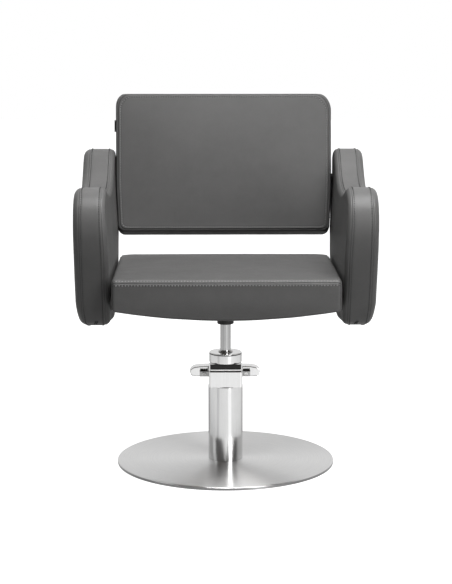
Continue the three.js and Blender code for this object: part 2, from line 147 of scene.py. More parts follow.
def leather(name, dark, light):
    """Grained synthetic leather, with painted shade in its seams, stitch rows and the back's boxing, and a
    slow change of tone.
    """
    made, n = material(name)
    at = n.where()
    warp = n.noise(at, 260, 2)
    moved = n.add("ShaderNodeVectorMath", {0: at}, operation="ADD")
    all_ways = n.add("ShaderNodeCombineXYZ", {0: warp, 1: warp, 2: warp}).outputs[0]
    shift = n.add("ShaderNodeVectorMath", {0: all_ways}, operation="SCALE")
    shift.inputs["Scale"].default_value = 0.0012
    n.tree.links.new(shift.outputs[0], moved.inputs[1])
    cells = n.add("ShaderNodeTexVoronoi", {"Vector": moved.outputs[0], "Scale": 780.0}, feature="SMOOTH_F1")
    cells.inputs["Smoothness"].default_value = 0.45
    grain = n.math("MULTIPLY", cells.outputs["Distance"], 1.3)
    pores = n.noise(at, 1500, 2)
    height = n.math("ADD", n.math("SUBTRACT", 1.0, grain), n.math("MULTIPLY", pores, 0.35))
    slow = n.noise(at, 9, 3)
    patches = n.noise(at, 48, 4, 0.6)
    tone = n.math("ADD", n.math("MULTIPLY", slow, 0.6), n.math("MULTIPLY", patches, 0.4))
    colour = n.mix(n.span(tone, 0.35, 0.65, 0.0, 1.0), dark, light)
    pits = n.span(grain, 0.35, 1.0, 0.0, 0.22)
    colour = n.mix(pits, colour, grey(dark[1] * 0.55))
    # painted shade: the 'seam' attribute darkens the leather in seam and stitch grooves and on the back's
    # boxing band
    seam = n.add("ShaderNodeAttribute", attribute_name="seam").outputs["Fac"]
    colour = n.mix(n.math("MULTIPLY", seam, 0.8, True), colour, grey(dark[1] * 0.22))
    rough = n.span(tone, 0.3, 0.7, 0.47, 0.42)
    waves = n.bump(patches, 0.05, 0.0016)
    n.surface(
        {
            "Base Color": colour,
            "Roughness": rough,
            "Specular IOR Level": 0.25,
            "Normal": n.bump(height, 0.32, 0.00032, waves),
        }
    )
    return made


def thread(name, dark, light):
    made, n = material(name)
    at = n.where()
    twist = n.add("ShaderNodeTexWave", {"Vector": at, "Scale": 900.0, "Distortion": 2.0})
    colour = n.mix(twist.outputs["Fac"], grey(dark), grey(light, 0.01))
    bump = n.bump(twist.outputs["Fac"], 0.5, 0.0002)
    n.surface({"Base Color": colour, "Roughness": 0.62, "Normal": bump})
    return made


def turned_steel():
    """Stainless sheet brushed in circles round the column, with faint smudges and painted shade on its rim.
    """
    made, n = material("circular_brushed_steel")
    at = n.where()
    parts = n.add("ShaderNodeSeparateXYZ", {0: at})
    square = n.math("ADD", n.math("POWER", parts.outputs[0], 2.0), n.math("POWER", parts.outputs[1], 2.0))
    radius = n.math("SQRT", square)
    fine = n.add("ShaderNodeTexNoise", {"W": radius, "Scale": 2600.0, "Detail": 3.0}, noise_dimensions="1D")
    broad = n.add("ShaderNodeTexNoise", {"W": radius, "Scale": 420.0, "Detail": 2.0}, noise_dimensions="1D")
    rings = n.math("ADD", n.math("MULTIPLY", fine.outputs[0], 0.6), n.math("MULTIPLY", broad.outputs[0], 0.4))
    angle = n.math("ARCTAN2", parts.outputs[1], parts.outputs[0])
    streak_parts = {0: n.math("MULTIPLY", angle, 3.0), 1: n.math("MULTIPLY", radius, 420.0)}
    streak_at = n.add("ShaderNodeCombineXYZ", streak_parts)
    streaks = n.noise(streak_at.outputs[0], 1.0, 3)
    smudge = n.noise(at, 11, 4)
    tone = n.math("ADD", n.math("MULTIPLY", rings, 0.7), n.math("MULTIPLY", streaks, 0.3))
    colour = n.mix(n.span(tone, 0.3, 0.7, 0.0, 1.0), grey(0.60), grey(0.74, 0.004))
    colour = n.mix(n.span(smudge, 0.45, 0.75, 0.0, 0.15), colour, grey(0.55, 0.01))
    # painted shade: the rim below 7 mm height is darkened towards 0.26 grey
    colour = n.mix(n.span(parts.outputs[2], 0.0062, 0.0070, 1.0, 0.0), colour, grey(0.26))
    tangent = n.add("ShaderNodeTangent", direction_type="RADIAL", axis="Z")
    n.surface(
        {
            "Base Color": colour,
            "Metallic": 1.0,
            "Roughness": n.span(tone, 0.3, 0.7, 0.34, 0.28),
            "Anisotropic": 0.93,
            "Anisotropic Rotation": 0.25,
            "Tangent": tangent.outputs[0],
            "Normal": n.bump(rings, 0.12, 0.0002),
        }
    )
    return made


def polished(name, colour, rough, scratch_axis=2, scratch=0.03):
    """Plated metal with faint drawing lines along one axis and smudges."""
    made, n = material(name)
    at = n.where()
    stretch = [900.0, 900.0, 900.0]
    stretch[scratch_axis] = 14.0
    lines_at = n.add("ShaderNodeVectorMath", {0: at, 1: stretch}, operation="MULTIPLY")
    lines = n.noise(lines_at.outputs[0], 1.0, 3)
    smudge = n.noise(at, 42, 4)
    low, high = grey(colour * 0.93), grey(colour)
    tint = n.mix(n.span(lines, 0.3, 0.7, 0.0, 1.0), low, high)
    tint = n.mix(n.span(smudge, 0.5, 0.8, 0.0, 0.25), tint, grey(colour * 0.86, 0.006))
    n.surface(
        {
            "Base Color": tint,
            "Metallic": 1.0,
            "Roughness": n.span(smudge, 0.3, 0.75, rough, rough + 0.06),
            "Normal": n.bump(lines, scratch, 0.0001),
        }
    )
    return made


def coated(name, colour, rough, scale, strength):
    """Paint, plastic or rubber: fine texture, dust and worn patches."""
    made, n = material(name)
    at = n.where()
    peel = n.noise(at, scale, 3)
    worn = n.noise(at, 36, 5, 0.65)
    tint = n.mix(n.span(worn, 0.35, 0.75, 0.0, 1.0), grey(colour), grey(colour * 1.7 + 0.004))
    tint = n.mix(n.span(peel, 0.55, 0.8, 0.0, 0.3), tint, grey(colour * 0.6))
    n.surface(
        {
            "Base Color": tint,
            "Roughness": n.span(worn, 0.3, 0.7, rough, rough + 0.12),
            "Specular IOR Level": 0.3,
            "Normal": n.bump(peel, strength, 0.0004),
        }
    )
    return made


def plywood():
    """Veneer on the faces and dark glue lines between the plies."""
    made, n = material("plywood")
    at = n.where()
    along = n.add("ShaderNodeVectorMath", {0: at, 1: (14.0, 190.0, 190.0)}, operation="MULTIPLY")
    grain = n.noise(along.outputs[0], 1.0, 5, 0.6)
    parts = n.add("ShaderNodeSeparateXYZ", {0: at})
    layer = n.math("FRACT", n.math("MULTIPLY", parts.outputs[2], 520.0))
    glue = n.math("LESS_THAN", layer, 0.22)
    colour = n.mix(n.span(grain, 0.3, 0.7, 0.0, 1.0), (0.30, 0.18, 0.085, 1), (0.50, 0.34, 0.18, 1))
    colour = n.mix(n.math("MULTIPLY", glue, 0.35), colour, (0.12, 0.07, 0.03, 1))
    n.surface({"Base Color": colour, "Roughness": 0.68, "Normal": n.bump(grain, 0.3, 0.0004)})
    return made


def woven_tag():
    made, n = material("woven_tag")
    at = n.where()
    weave = n.add("ShaderNodeTexWave", {"Vector": at, "Scale": 700.0, "Distortion": 0.6}, bands_direction="Z")
    colour = n.mix(weave.outputs["Fac"], grey(0.006), grey(0.03))
    n.surface({"Base Color": colour, "Roughness": 0.8, "Normal": n.bump(weave.outputs["Fac"], 0.4, 0.0003)})
    return made


LEATHER = leather("grey_leather", grey(0.056, 0.01), grey(0.065, 0.012))
ARM_LEATHER = leather("arm_leather", grey(0.065, 0.01), grey(0.073, 0.012))
REAR_LEATHER = leather("rear_leather", grey(0.050, 0.01), grey(0.058, 0.012))
THREAD = thread("thread", 0.15, 0.21)
DARK_THREAD = thread("dark_thread", 0.006, 0.014)
BACK_THREAD = thread("back_thread", 0.12, 0.18)
DISC = turned_steel()
CHROME = polished("chrome", 0.79, 0.05)
TUBE = polished("polished_tube", 0.69, 0.09, 2, 0.05)
ROD = polished("hard_chrome_rod", 0.45, 0.10, 2, 0.06)
CAP = polished("cap_chrome", 0.74, 0.06)
BRIGHT_ZINC = polished("bright_zinc", 0.80, 0.34, 0, 0.08)
STEEL = polished("zinc_steel", 0.48, 0.30, 0, 0.12)
BLACK_PAINT = coated("black_paint", 0.014, 0.42, 900, 0.25)
BLACK_PLASTIC = coated("black_plastic", 0.010, 0.34, 1400, 0.15)
RUBBER = coated("rubber", 0.020, 0.78, 500, 0.5)
BRONZE = polished("bronze", 0.42, 0.30)
PLY = plywood()
TAG = woven_tag()


# ---------- curves and sampling ----------
def catmull(knots, per_span=18):
    """Closed centripetal curve through the knots."""
    k = np.asarray(knots, float)
    n = len(k)
    out = []
    for i in range(n):
        p = [k[(i + j - 1) % n] for j in range(4)]
        t = [0.0]
        for j in range(3):
            t.append(t[-1] + math.sqrt(max(np.linalg.norm(p[j + 1] - p[j]), 1e-6)))
        for u in np.linspace(t[1], t[2], per_span, endpoint=False):
            a = [
                (t[j + 1] - u) / (t[j + 1] - t[j]) * p[j] + (u - t[j]) / (t[j + 1] - t[j]) * p[j + 1]
                for j in range(3)
            ]
            b = [
                (t[j + 2] - u) / (t[j + 2] - t[j]) * a[j] + (u - t[j]) / (t[j + 2] - t[j]) * a[j + 1]
                for j in range(2)
            ]
            out.append((t[2] - u) / (t[2] - t[1]) * b[0] + (u - t[1]) / (t[2] - t[1]) * b[1])
    return np.array(out)


def filleted(corners, closed=True, steps=8):
    """Polygon given as (a, b, radius) with each corner rounded."""
    n = len(corners)
    out = []
    for i, (x, y, r) in enumerate(corners):
        here = np.array([x, y], float)
        if r <= 0 or (not closed and i in (0, n - 1)):
            out.append(here)
            continue
        before = np.array(corners[i - 1][:2], float) - here
        after = np.array(corners[(i + 1) % n][:2], float) - here
        room = 0.49 * min(np.linalg.norm(before), np.linalg.norm(after))
        before /= np.linalg.norm(before)
        after /= np.linalg.norm(after)
        half = math.acos(max(-1, min(1, float(before @ after)))) / 2
        reach = r / math.tan(half)
        if reach > room:
            reach = room
            r = reach * math.tan(half)
        middle = here + (before + after) / np.linalg.norm(before + after) * r / math.sin(half)
        start = here + before * reach - middle
        stop = here + after * reach - middle
        sweep = math.atan2(start[0] * stop[1] - start[1] * stop[0], float(start @ stop))
        for j in range(steps + 1):
            a = sweep * j / steps
            turn = np.array([[math.cos(a), -math.sin(a)], [math.sin(a), math.cos(a)]])
            out.append(middle + turn @ start)
    return np.array(out)


def lengths(path, closed):
    p = np.vstack([path, path[:1]]) if closed else path
    steps = np.linalg.norm(np.diff(p, axis=0), axis=1)
    return p, np.concatenate([[0.0], np.cumsum(steps)])


def read_off(values, s, places):
    """The columns of values, which are known at the lengths s, at other places."""
    return np.stack([np.interp(places, s, column) for column in values.T], axis=-1)


def at_lengths(path, closed, places):
    p, s = lengths(path, closed)
    return read_off(p, s, places)


def evenly(loop, count):
    """The closed loop as count points the same distance apart."""
    return at_lengths(loop, True, np.linspace(0, lengths(loop, True)[1][-1], count, False))


GROOVE = np.array([-3.6, -2.6, -1.7, -0.9, 0.0, 0.9, 1.7, 2.6, 3.6])  # rows of vertices across a seam
STITCH_GROOVE = np.array([-1.1, 0.0, 1.1])  # and across a row of stitches
SEAM_DEPTH = 1.4
ROW_PAINTED_SHADE = 0.6  # how much painted shade lies in the groove under a row of stitches, from 0 to 1
ROW_DEPTH = 0.50
WELT = 0.12  # height of the swelling beside a seam, as a share of its depth


def sampled(path, closed, seams, step=6.0, turn=11.0, depth=SEAM_DEPTH, row_painted_shade=ROW_PAINTED_SHADE):
    """Places along a path, close together on its curves and at its seams.

    seams is a list of (place, [stitch rows, as distances from the seam]).
    Returns the places, the groove offset and the painted shade of the grooves at each, and the index of each
    stitch row.
    """
    p, s = lengths(path, closed)
    d = np.diff(p, axis=0)
    bearing = np.unwrap(np.arctan2(d[:, 1], d[:, 0]))
    bend = np.abs(np.diff(bearing, append=bearing[-1:]))
    cost = np.concatenate([[0.0], np.cumsum(np.diff(s) / step + np.degrees(bend) / turn)])
    count = int(math.ceil(cost[-1]))
    places = list(np.interp(np.linspace(0, cost[-1], count, endpoint=not closed), cost, s))
    rows = []
    for seam, stitches in seams:
        clear = [(seam + GROOVE[0] - 0.8, seam + GROOVE[-1] + 0.8)]
        extra = list(seam + GROOVE)
        for row in stitches:
            extra += list(seam + row + STITCH_GROOVE)
            clear.append((seam + row - 1.8, seam + row + 1.8))
            rows.append(seam + row)
        places = [x for x in places if not any(a < x < b for a, b in clear)]
        places += extra
    places = np.array(sorted(set(np.round(places, 4))))
    keep = np.concatenate([[True], np.diff(places) > 0.35])
    places = places[keep]
    off = np.zeros(len(places))
    # mark: painted shade in the seam groove and in the groove of each stitch row
    mark = np.zeros(len(places))
    for seam, stitches in seams:
        t = places - seam
        off += depth * (WELT * np.exp(-(((np.abs(t) - 2.8) / 1.5) ** 2)) - np.exp(-(t**2)))
        mark += min(1.0, 0.62 * depth) * np.exp(-((t / 1.1) ** 2))
        for row in stitches:
            off -= ROW_DEPTH * np.exp(-((t - row) ** 2))
            mark += row_painted_shade * np.exp(-((t - row) ** 2))
    index = [int(np.argmin(np.abs(places - r))) for r in rows]
    return places, off, np.clip(mark, 0, 1), index


def inset_family(loop, depths):
    """The loop moved inwards to each depth in turn, keeping its points apart as it shrinks."""
    before = np.linalg.norm(loop - np.roll(loop, 1, 0), axis=1)
    share = (np.roll(before, -1) / (before + np.roll(before, -1)))[:, None]
    now = loop.copy()
    at = 0.0
    out = {}
    for depth in depths:
        while at < depth - 1e-9:
            step = min(1.0, depth - at)
            along = np.roll(now, -1, 0) - np.roll(now, 1, 0)
            along /= np.linalg.norm(along, axis=1)[:, None] + 1e-12
            now = now + step * np.column_stack([-along[:, 1], along[:, 0]])
            pull = share * np.roll(now, 1, 0) + (1 - share) * np.roll(now, -1, 0) - now
            now = now + 0.5 * np.sum(pull * along, axis=1)[:, None] * along
            at += step
        out[depth] = now.copy()
    return out


def scaled_family(loop, depths):
    """The loop drawn in towards its middle, for outlines whose corners are too tight to move inwards."""
    middle = (loop.min(0) + loop.max(0)) / 2
    half = (loop.max(0) - loop.min(0)) / 2
    return {depth: middle + (loop - middle) * (1 - depth / half) for depth in depths}


def inside(points, ring):
    x, y = points[:, 0][:, None], points[:, 1][:, None]
    x0, y0 = ring[:, 0], ring[:, 1]
    x1, y1 = np.roll(x0, -1), np.roll(y0, -1)
    crosses = (y0 > y) != (y1 > y)
    hits = x < (x1 - x0) * (y - y0) / np.where(y1 == y0, 1e-9, y1 - y0) + x0
    return (crosses & hits).sum(1) % 2 == 1


def filled(ring, step):
    """Points and triangles that fill a closed outline; the outline's own points come first."""
    low, high = ring.min(0), ring.max(0)
    rows = np.arange(low[1] + step * 0.5, high[1], step * 0.866)
    grid = []
    for i, y in enumerate(rows):
        for x in np.arange(low[0] + (0.5 * step if i % 2 else 0.0), high[0], step):
            grid.append((x, y))
    grid = np.array(grid)
    grid = grid[inside(grid, ring)]
    near = np.array([np.min(np.sum((ring - g) ** 2, 1)) for g in grid])
    grid = grid[near > (0.62 * step) ** 2]
    points = [Vector(p) for p in np.vstack([ring, grid])]
    n = len(ring)
    edges = [(i, (i + 1) % n) for i in range(n)]
    _, _, faces, origin, _, _ = delaunay_2d_cdt(points, edges, [], 1, 1e-6)
    number = [o[0] if o else None for o in origin]
    triangles = [[number[v] for v in f] for f in faces]
    return grid, [t for t in triangles if None not in t]


# ---------- padded forms ----------
class Pad:
    """A closed upholstered form: a row of vertices round a loop for each station, with both ends filled."""

    def __init__(self, loop, section, place, loop_seams=(), section_seams=(), fill_step=7.0,
                 loop_step=5.0, section_step=6.0, family=inset_family, depth=SEAM_DEPTH, row_painted_shade=ROW_PAINTED_SHADE):
        u, u_off, u_mark, self.loop_rows = sampled(loop, True, loop_seams, loop_step, 9.0, depth, row_painted_shade)
        v, v_off, v_mark, self.section_rows = sampled(
            section, False, section_seams, section_step, depth=depth, row_painted_shade=row_painted_shade
        )
        ring = at_lengths(loop, True, u)
        stations = at_lengths(section, False, v)
        depths = sorted(set(np.round(stations[:, 1], 4)))
        rings = family(ring, depths)
        n = len(ring)
        co, off, mark, faces = [], [], [], []
        self.n, self.rows = n, len(stations)
        for j, (w, depth) in enumerate(stations):
            now = rings[round(float(depth), 4)]
            co.append(np.column_stack([now, np.full(n, w)]))
            off.append(u_off + v_off[j])
            mark.append(np.maximum(u_mark, v_mark[j]))
        for j in range(self.rows - 1):
            a, b = j * n, (j + 1) * n
            faces += [[a + i, a + (i + 1) % n, b + (i + 1) % n, b + i] for i in range(n)]
        for j in (0, self.rows - 1):
            edge = co[j][:, :2]
            grid, triangles = filled(edge, fill_step)
            start = sum(len(c) for c in co)
            number = list(range(j * n, j * n + n)) + list(range(start, start + len(grid)))
            faces += [[number[v] for v in t] for t in triangles]
            co.append(np.column_stack([grid, np.full(len(grid), co[j][0, 2])]))
            off.append(np.zeros(len(grid)))
            mark.append(np.zeros(len(grid)))
        flat = np.vstack(co)
        self.flat = flat
        self.off = np.concatenate(off)
        self.mark = np.concatenate(mark)
        self.seamed = self.mark > 0.4
        self.mesh = bpy.data.meshes.new("pad")
        self.mesh.from_pydata((place(flat) * MM).tolist(), [], faces)
        bm = bmesh.new()
        bm.from_mesh(self.mesh)
        bmesh.ops.recalc_face_normals(bm, faces=bm.faces[:])
        for f in bm.faces:
            f.smooth = True
        bm.to_mesh(self.mesh)
        bm.free()

    def co(self):
        out = np.zeros(len(self.mesh.vertices) * 3)
        self.mesh.vertices.foreach_get("co", out)
        return out.reshape(-1, 3) / MM

    def normals(self):
        self.mesh.update()
        out = np.zeros(len(self.mesh.vertices) * 3, np.float32)
        self.mesh.vertex_normals.foreach_get("vector", out)
        return out.reshape(-1, 3).astype(float)

    def move(self, by):
        self.mesh.vertices.foreach_set("co", ((self.co() + by) * MM).ravel())
        self.mesh.update()

    def seam_points(self):
        """Points held still while the padding swells: everything close to a seam."""
        return self.co()[self.seamed]

    def finish(self, name, look, wrinkle=0.35, seed=0.0):
        """Lets the seams in, adds the slow unevenness of stuffed leather, and makes the object."""
        away = self.normals()
        co = self.co()
        wave = np.array([
            noise.noise(Vector((p[0] / 46 + seed, p[1] / 46, p[2] / 46)))
            + 0.5 * noise.noise(Vector((p[0] / 17, p[1] / 17 + seed, p[2] / 17)))
            for p in co
        ])
        self.move(away * (self.off + wrinkle * wave)[:, None])
        # the 'seam' attribute carries the painted shade of the seam and stitch grooves and of the back's
        # boxing
        seam = self.mesh.attributes.new("seam", "FLOAT", "POINT")
        seam.data.foreach_set("value", self.mark.astype(np.float32))
        self.mesh.materials.append(look)
        self.mesh.name = name
        made = bpy.data.objects.new(name, self.mesh)
        scene.collection.objects.link(made)
        return made

    def ring_line(self, row):
        """Points and normals round the form along one station."""
        pick = np.arange(row * self.n, (row + 1) * self.n)
        return self.co()[pick], self.normals()[pick], True

    def cross_line(self, index, first, last):
        """Points and normals across the form at one place of the loop."""
        pick = np.arange(first, last + 1) * self.n + index
        return self.co()[pick], self.normals()[pick], False


PUFF_VOXEL = 8.0
PUFF_PRESSURE = 4.0
PUFF_FRAMES = 20


def puffed(pad, still, cap):
    """How far the padding pushes each vertex out.

    The form is copied, voxel remeshed and blown up as cloth held at the points in still. Its movement is
    scaled so that the largest is cap, and then carried back to the pad's own vertices.
    """
    co = pad.co()
    shell = bpy.data.objects.new("shell", pad.mesh.copy())
    scene.collection.objects.link(shell)
    remesh = shell.modifiers.new("remesh", "REMESH")
    remesh.mode = "VOXEL"
    remesh.voxel_size = PUFF_VOXEL * MM
    view = bpy.context.evaluated_depsgraph_get()
    mesh = bpy.data.meshes.new_from_object(shell.evaluated_get(view))
    bpy.data.objects.remove(shell)
    cloth = bpy.data.objects.new("cloth", mesh)
    scene.collection.objects.link(cloth)
    rest = np.zeros(len(mesh.vertices) * 3)
    mesh.vertices.foreach_get("co", rest)
    rest = rest.reshape(-1, 3) / MM
    pins = KDTree(len(still))
    for i, p in enumerate(still):
        pins.insert(p, i)
    pins.balance()
    group = cloth.vertex_groups.new(name="pin")
    for i, p in enumerate(rest):
        gap = pins.find(p)[2]
        weight = max(0.0, min(1.0, 1.6 - gap / 8.0))
        if weight > 0:
            group.add([i], weight, "REPLACE")
    modifier = cloth.modifiers.new("cloth", "CLOTH")
    s = modifier.settings
    s.quality = 4
    s.mass = 0.3
    s.tension_stiffness = 18
    s.compression_stiffness = 18
    s.shear_stiffness = 8
    s.bending_stiffness = 2.0
    s.use_pressure = True
    s.uniform_pressure_force = PUFF_PRESSURE
    s.vertex_group_mass = "pin"
    s.effector_weights.gravity = 0
    modifier.collision_settings.use_collision = False
    modifier.point_cache.frame_start = 1
    modifier.point_cache.frame_end = PUFF_FRAMES
    for f in range(1, PUFF_FRAMES + 1):
        scene.frame_set(f)
    view = bpy.context.evaluated_depsgraph_get()
    after = np.zeros(len(rest) * 3)
    cloth.evaluated_get(view).data.vertices.foreach_get("co", after)
    move = after.reshape(-1, 3) / MM - rest
    bpy.data.objects.remove(cloth)
    scene.frame_set(1)
    size = np.linalg.norm(move, axis=1)
    biggest = np.percentile(size, 99.5)
    print(f"puff: {len(rest)} points, largest {biggest:.1f} mm, cap {cap} mm")
    move *= cap / max(biggest, 1e-6)
    size = np.linalg.norm(move, axis=1)
    move *= (np.minimum(size, cap) / np.maximum(size, 1e-9))[:, None]
    tree = KDTree(len(rest))
    for i, p in enumerate(rest):
        tree.insert(p, i)
    tree.balance()
    out = np.zeros_like(co)
    for i, p in enumerate(co):
        found = tree.find_n(p, 8)
        weights = np.array([math.exp(-((f[2] / PUFF_VOXEL) ** 2)) + 1e-6 for f in found])
        out[i] = weights @ move[[f[1] for f in found]] / weights.sum()
    return out


def capsule():
    """A stitch one unit long and one unit in radius, with rounded ends that dip."""
    n = 6
    ring = [(math.cos(a), math.sin(a)) for a in np.linspace(0, 2 * math.pi, n, endpoint=False)]
    half = [(0.36, 0.85, -0.15), (0.5, 0.25, -1.1)]  # place along, size and height of each ring
    spine = [(-along, size, lift) for along, size, lift in reversed(half)] + [(0.0, 1.0, 0.35)] + half
    verts, faces = [], []
    for along, size, lift in spine:
        verts += [(along, c * size, s * size * 0.7 + lift) for c, s in ring]
    for j in range(0, n * (len(spine) - 1), n):
        faces += [[j + i, j + (i + 1) % n, j + n + (i + 1) % n, j + n + i] for i in range(n)]
    faces.append(list(reversed(range(n))))
    faces.append([n * (len(spine) - 1) + i for i in range(n)])
    return np.array(verts), faces


def stitches(name, lines, look=THREAD, pitch=4.35, length=2.4, radius=0.95, lift=0.25):
    """Thread laid along lines of (points, normals, closed)."""
    shape, shape_faces = capsule()
    verts, faces = [], []
    for points, normals, closed in lines:
        if closed:
            points = np.vstack([points, points[:1]])
            normals = np.vstack([normals, normals[:1]])
        s = np.concatenate([[0], np.cumsum(np.linalg.norm(np.diff(points, axis=0), axis=1))])
        count = int(s[-1] / pitch)
        for place in (np.arange(count) + 0.5) * s[-1] / count:
            behind, here, ahead = read_off(points, s, [place - 1.0, place, place + 1.0])
            up = read_off(normals, s, place)
            t = (ahead - behind) / (np.linalg.norm(ahead - behind) + 1e-9)
            up = up - t * (up @ t)
            up /= np.linalg.norm(up)
            side = np.cross(up, t)
            local = shape * np.array([length, radius, radius])
            verts.append(here + up * lift + local[:, :1] * t + local[:, 1:2] * side + local[:, 2:] * up)
    total = np.vstack(verts)
    per = len(shape)
    for i in range(len(verts)):
        faces += [[i * per + k for k in f] for f in shape_faces]
    return mesh_object(name, total, faces, look)


def bar_tacks(name, arm, x, z):
    """Two short slanted rows of dark thread on the front of an arm."""
    bpy.context.view_layer.update()
    lines = []
    for aside in (-1.9, 1.9):
        points, normals = [], []
        for t in np.linspace(-1, 1, 7):
            start = Vector((x + aside + 1.9 * t, -300, z + 4.4 * t)) * MM
            found, at, normal, _ = arm.ray_cast(start, Vector((0, 1, 0)))
            if found:
                points.append(np.array(at) / MM)
                normals.append(np.array(normal))
        lines.append((np.array(points), np.array(normals), False))
    return stitches(name, lines, DARK_THREAD, pitch=3.1, length=3.3, radius=1.4, lift=0.4)


def mesh_object(name, co, faces, look):
    """A smooth-shaded object from points in millimetres, its faces turned outwards."""
    mesh = bpy.data.meshes.new(name)
    mesh.from_pydata((np.asarray(co, float) * MM).tolist(), [], faces)
    bm = bmesh.new()
    bm.from_mesh(mesh)
    bmesh.ops.recalc_face_normals(bm, faces=bm.faces[:])
    bm.to_mesh(mesh)
    bm.free()
    mesh.polygons.foreach_set("use_smooth", [True] * len(mesh.polygons))
    mesh.materials.append(look)
    made = bpy.data.objects.new(name, mesh)
    scene.collection.objects.link(made)
    return made


def belongs(piece, body, slot, *nodes):
    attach(piece, body)
    if nodes:
        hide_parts(*nodes)
    return piece


# ---------- arms ----------
ARM_OUTLINE = [
    (290, 692), (262, 700), (234, 698), (212, 688), (190, 673), (164, 656), (134, 642),
    (98, 633), (54, 629), (10, 630), (-35, 635), (-80, 644), (-120, 655), (-150, 660),
    (-178, 660), (-206, 650), (-228, 629), (-240, 600), (-243, 568), (-237, 530),
    (-222, 480), (-204, 430), (-187, 388), (-164, 359), (-130, 347), (-70, 345),
    (60, 345), (185, 346), (226, 356), (252, 384), (272, 440), (290, 530), (305, 610),
    (312, 655), (307, 680),
]
ARM_IN, ARM_OUT = 262.6, 329.0


def eased(value, start, stop):
    """0 before start, 1 after stop, smooth between; start may be above stop."""
    t = np.clip((value - start) / (stop - start), 0, 1)
    return t * t * (3 - 2 * t)


ARM_SWELL = (1.4, 6.0)  # how far the inner face stands in everywhere, and then further beside the seat
ARM_SWELL_LOW = 4.2  # and further still along the bottom edge
ARM_TUCK = (9.0, 1.5)  # how far the outer and the inner side curve in at the bottom of the front
ARM_HEEL = (13, 4)  # and further in at the very bottom
ARM_SPLAY = {"L": (2.2, 4.0), "R": (0.0, 1.0)}  # how far each outer face stands out, and further at the rear
ARM_LIFT = 2.3  # extra height of the rear top
ARM_PUFF = 5.0
TACKS_AT = (287.2, 360.5)


def shape_arm(pad, sign):
    """Fuller beside the seat, and drawn in all round at the bottom."""
    co = pad.co()
    x = co[:, 0] * sign
    middle = (ARM_IN + ARM_OUT) / 2
    inner = np.clip((middle - x) / (middle - ARM_IN), 0, 1)
    outer = np.clip((x - middle) / (ARM_OUT - middle), 0, 1)
    swell = -inner * (ARM_SWELL[0] + ARM_SWELL[1] * eased(co[:, 2], 640, 500))
    swell -= ARM_SWELL_LOW * inner * eased(co[:, 2], 385, 350) * eased(co[:, 1], -112, -60)
    low = np.clip((412 - co[:, 2]) / 62, 0, 1) ** 1.6
    front = eased(co[:, 1], -40, -135)
    heel = np.clip((360 - co[:, 2]) / 13, 0, 1) ** 2
    tuck = (ARM_TUCK[1] * low + ARM_HEEL[1] * heel) * inner * front
    tuck -= (ARM_TUCK[0] * low + ARM_HEEL[0] * heel) * outer * (0.5 + 0.5 * front)
    out, rear_out = ARM_SPLAY["R" if sign > 0 else "L"]
    splay = outer * (out + rear_out * eased(co[:, 1], -60, 200))
    lift = ARM_LIFT * eased(co[:, 2], 645, 690) * eased(co[:, 1], 120, 200)
    pad.move(np.column_stack([sign * (swell + tuck + splay), np.zeros(len(x)), lift]))


def make_arm(side):
    sign = 1 if side == "R" else -1
    loop = inset_family(evenly(catmull(ARM_OUTLINE), 700), [1.2])[1.2]
    section = filleted(
        [(ARM_IN, 26, 0), (ARM_IN, 0, 15), (ARM_OUT, 0, 17), (ARM_OUT, 34, 0)], closed=False, steps=24
    )
    s = lengths(section, False)[1]
    inner = 26 - 15 + 15 * math.radians(68)
    outer = float(s[np.argmin(np.abs(section[:, 0] - (ARM_OUT - 12.5)) + np.where(section[:, 1] > 8, 99, 0))])

    def place(flat):
        return np.column_stack([sign * flat[:, 2], flat[:, 0], flat[:, 1]])

    pad = Pad(loop, section, place, section_seams=[(inner, [4.6]), (outer, [-4.6])], depth=0.8, row_painted_shade=0.15)
    shape_arm(pad, sign)
    push = puffed(pad, pad.seam_points(), ARM_PUFF)
    inward = (push[:, 0] * sign) < 0
    push[inward, 0] *= 0.35
    push[:, 1:] *= 0.8
    pad.move(push)
    arm = pad.finish(f"arm_{side}", ARM_LEATHER, 0.2, 3.1 if side == "R" else 11.7)
    belongs(arm, "seat", "upholstery", f"arm_pad_{side}")
    lines = [pad.ring_line(r) for r in pad.section_rows]
    sewn = stitches(
        f"arm_{side}_stitching", lines, DARK_THREAD, pitch=5.8, length=2.7, radius=1.35, lift=0.35
    )
    belongs(sewn, "seat", "upholstery")
    belongs(bar_tacks(f"arm_{side}_tacks", arm, sign * TACKS_AT[0], TACKS_AT[1]), "seat", "upholstery")


# ---------- seat ----------
SEAT_HALF = 248.5
SEAT_BOW = 20.5  # how much higher the bottom of the front panel is at its ends than in the middle
SEAT_CORNERS = (9, 14)  # how far the left and the right rear corner are rounded off
SEAT_CROWN = 1.9
SEAT_PUFF = BACK_PUFF = 7.0


